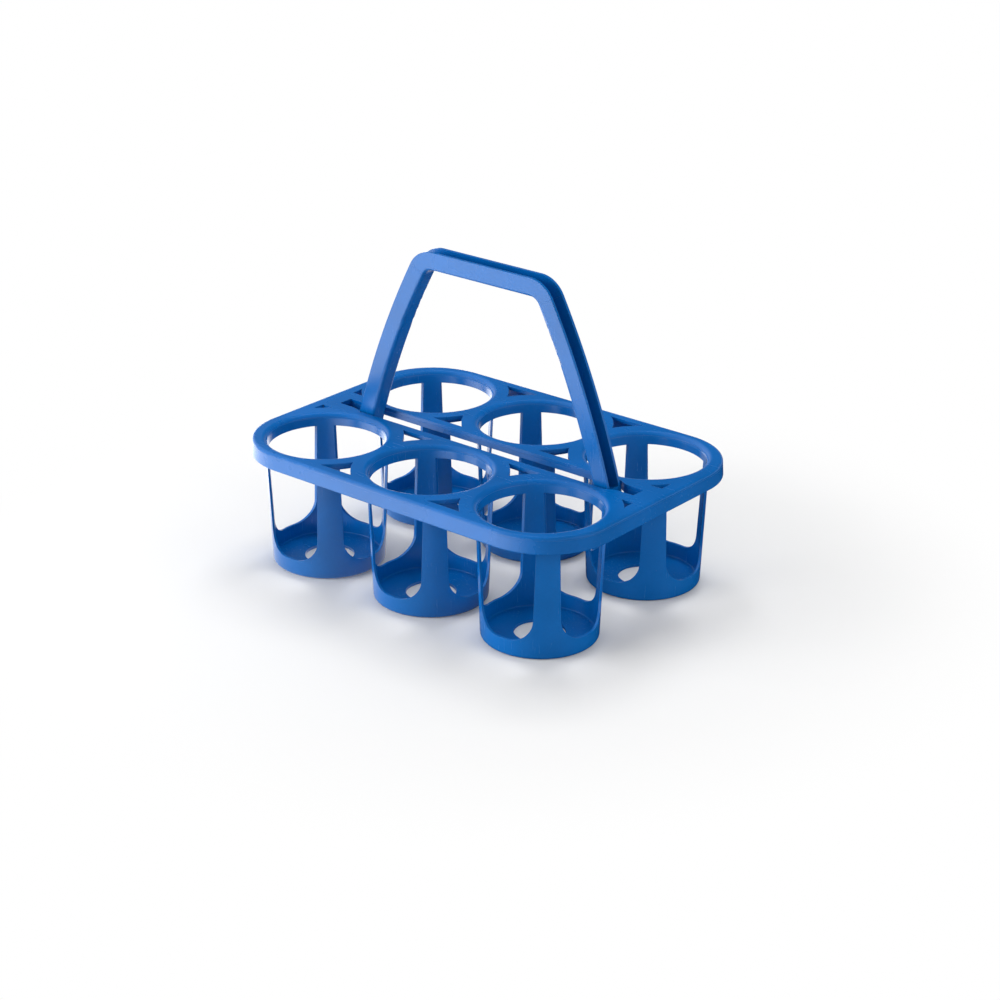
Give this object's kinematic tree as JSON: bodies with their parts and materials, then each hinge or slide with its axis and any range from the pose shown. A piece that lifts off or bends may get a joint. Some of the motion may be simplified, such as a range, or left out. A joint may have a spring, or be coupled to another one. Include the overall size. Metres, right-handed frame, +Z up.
{
  "type": "bottle carrier",
  "caption": "Open plastic carrier for bottles: a low tray of windowed cups in two rows, with a tall hoop handle that rocks in a slot between the rows.",
  "frame": {"origin": "on the ground under the middle of the tray", "axes": "X along the two rows of cups, Y from the front row to the back row, +Z up towards the handle's grip"},
  "size_m": [0.296, 0.214, 0.222],
  "materials": {
    "tray_plastic": "glossy moulded blue polypropylene with a faint orange peel",
    "handle_plastic": "glossy moulded blue polypropylene with a faint orange peel"
  },
  "bodies": {
    "tray": {"deck_plate": "tray_plastic", "rim_skirt": "tray_plastic", "slot_rib_front": "tray_plastic", "slot_rib_back": "tray_plastic", "cup_front_left": "tray_plastic", "cup_front_middle": "tray_plastic", "cup_front_right": "tray_plastic", "cup_back_left": "tray_plastic", "cup_back_middle": "tray_plastic", "cup_back_right": "tray_plastic", "pivot_bearing_left": "tray_plastic", "pivot_bearing_right": "tray_plastic"},
    "handle": {"handle_grip": "handle_plastic", "handle_leg_left": "handle_plastic", "handle_leg_right": "handle_plastic"}
  },
  "joints": [
    {"name": "handle_swing", "type": "hinge", "parent": "tray", "child": "handle", "pos_m": [0, 0, 0.0845], "axis": [1, 0, 0], "range_deg": [-13, 13]}
  ]
}
